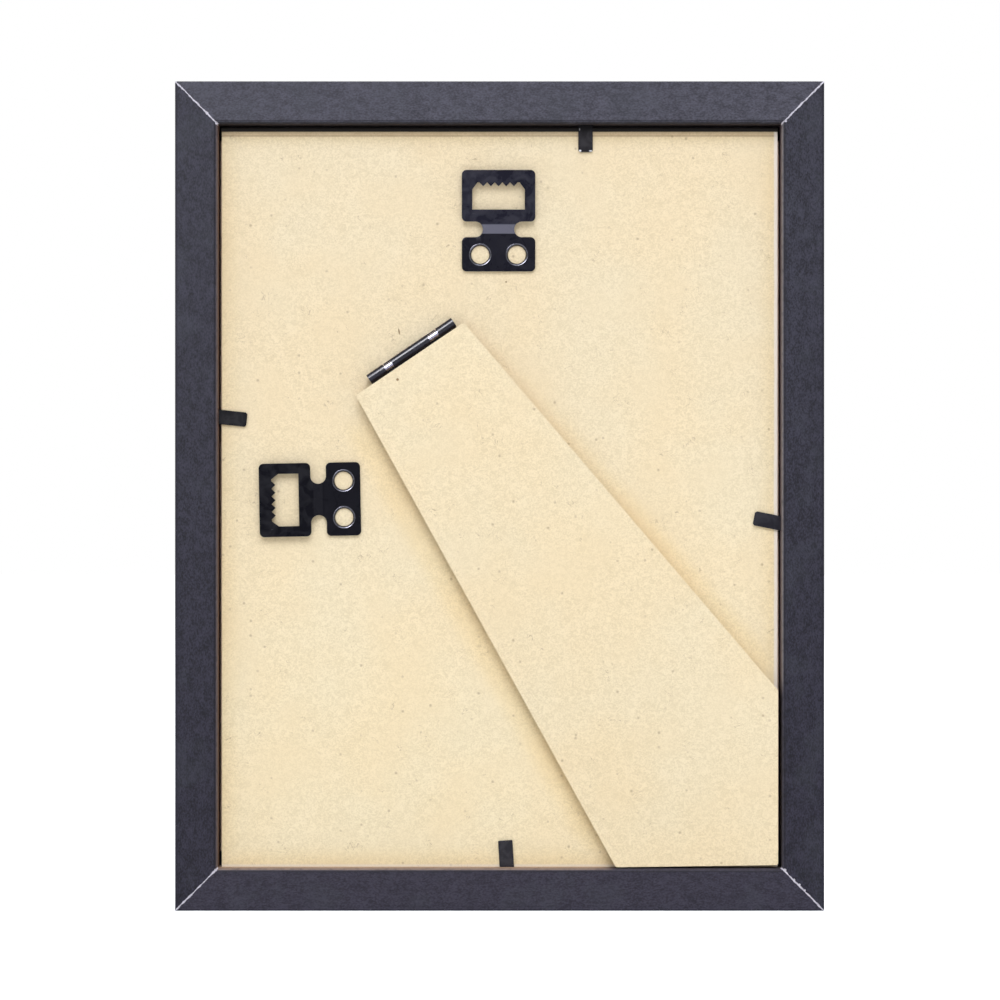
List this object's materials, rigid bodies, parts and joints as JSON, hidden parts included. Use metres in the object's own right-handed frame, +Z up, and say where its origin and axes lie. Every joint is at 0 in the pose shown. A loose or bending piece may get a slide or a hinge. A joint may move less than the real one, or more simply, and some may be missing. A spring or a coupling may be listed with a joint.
{
  "type": "easel back photo frame",
  "caption": "Upright photo frame seen from its back: mitred black moulding, fibreboard back, barrel-hinged easel leg, sawtooth hangers and bendable retaining tabs.",
  "frame": {"origin": "middle of the bottom edge, half way through the depth, where the frame stands upright", "axes": "+Z up the long side, +X to the right seen from behind, +Y out of the glazed front; the easel back faces -Y"},
  "size_m": [0.18, 0.015, 0.23],
  "materials": {
    "moulding": "fibreboard moulding in a matte black paper-like wrap",
    "board_fibreboard": "raw fibreboard, pale, finely mottled",
    "leg_fibreboard": "raw fibreboard, pale, finely mottled",
    "hanger_black": "semi-gloss black coated steel",
    "hinge_black": "semi-gloss black coated steel",
    "tab_black": "satin black coated spring steel",
    "pin_steel": "bright drawn wire",
    "nail_steel": "plain steel strip",
    "glass": "clear float glass",
    "insert_paper": "plain white paper"
  },
  "bodies": {
    "frame": {"rail_top": "moulding", "rail_bottom": "moulding", "rail_left": "moulding", "rail_right": "moulding", "corner_wedge_nails": "nail_steel", "glass_pane": "glass", "photo_insert": "insert_paper", "backing_board": "board_fibreboard", "hanger_top": "hanger_black", "hanger_side": "hanger_black", "hinge_base_leaf": "hinge_black", "hinge_pin": "pin_steel", "tab_top_anchor": "tab_black", "tab_bottom_anchor": "tab_black", "tab_left_anchor": "tab_black", "tab_right_anchor": "tab_black"},
    "leg": {"easel_leg": "leg_fibreboard", "hinge_leg_leaf": "hinge_black"},
    "tab_top": {"tab_top_leaf": "tab_black"},
    "tab_bottom": {"tab_bottom_leaf": "tab_black"},
    "tab_left": {"tab_left_leaf": "tab_black"},
    "tab_right": {"tab_right_leaf": "tab_black"}
  },
  "joints": [
    {"name": "leg_hinge", "type": "hinge", "parent": "frame", "child": "leg", "pos_m": [-0.02449, -0.00514, 0.15533], "axis": [-0.8281, 0, -0.5606], "range_deg": [0, 30]},
    {"name": "tab_top_bend", "type": "hinge", "parent": "frame", "child": "tab_top", "pos_m": [0.0239, -0.0036, 0.21775], "axis": [-1, 0, 0], "range_deg": [0, 85]},
    {"name": "tab_bottom_bend", "type": "hinge", "parent": "frame", "child": "tab_bottom", "pos_m": [0.002, -0.0036, 0.01225], "axis": [1, 0, 0], "range_deg": [0, 85]},
    {"name": "tab_left_bend", "type": "hinge", "parent": "frame", "child": "tab_left", "pos_m": [-0.07775, -0.0036, 0.13704], "axis": [0, 0, -1], "range_deg": [0, 85]},
    {"name": "tab_right_bend", "type": "hinge", "parent": "frame", "child": "tab_right", "pos_m": [0.07775, -0.0036, 0.10738], "axis": [0, 0, 1], "range_deg": [0, 85]}
  ]
}
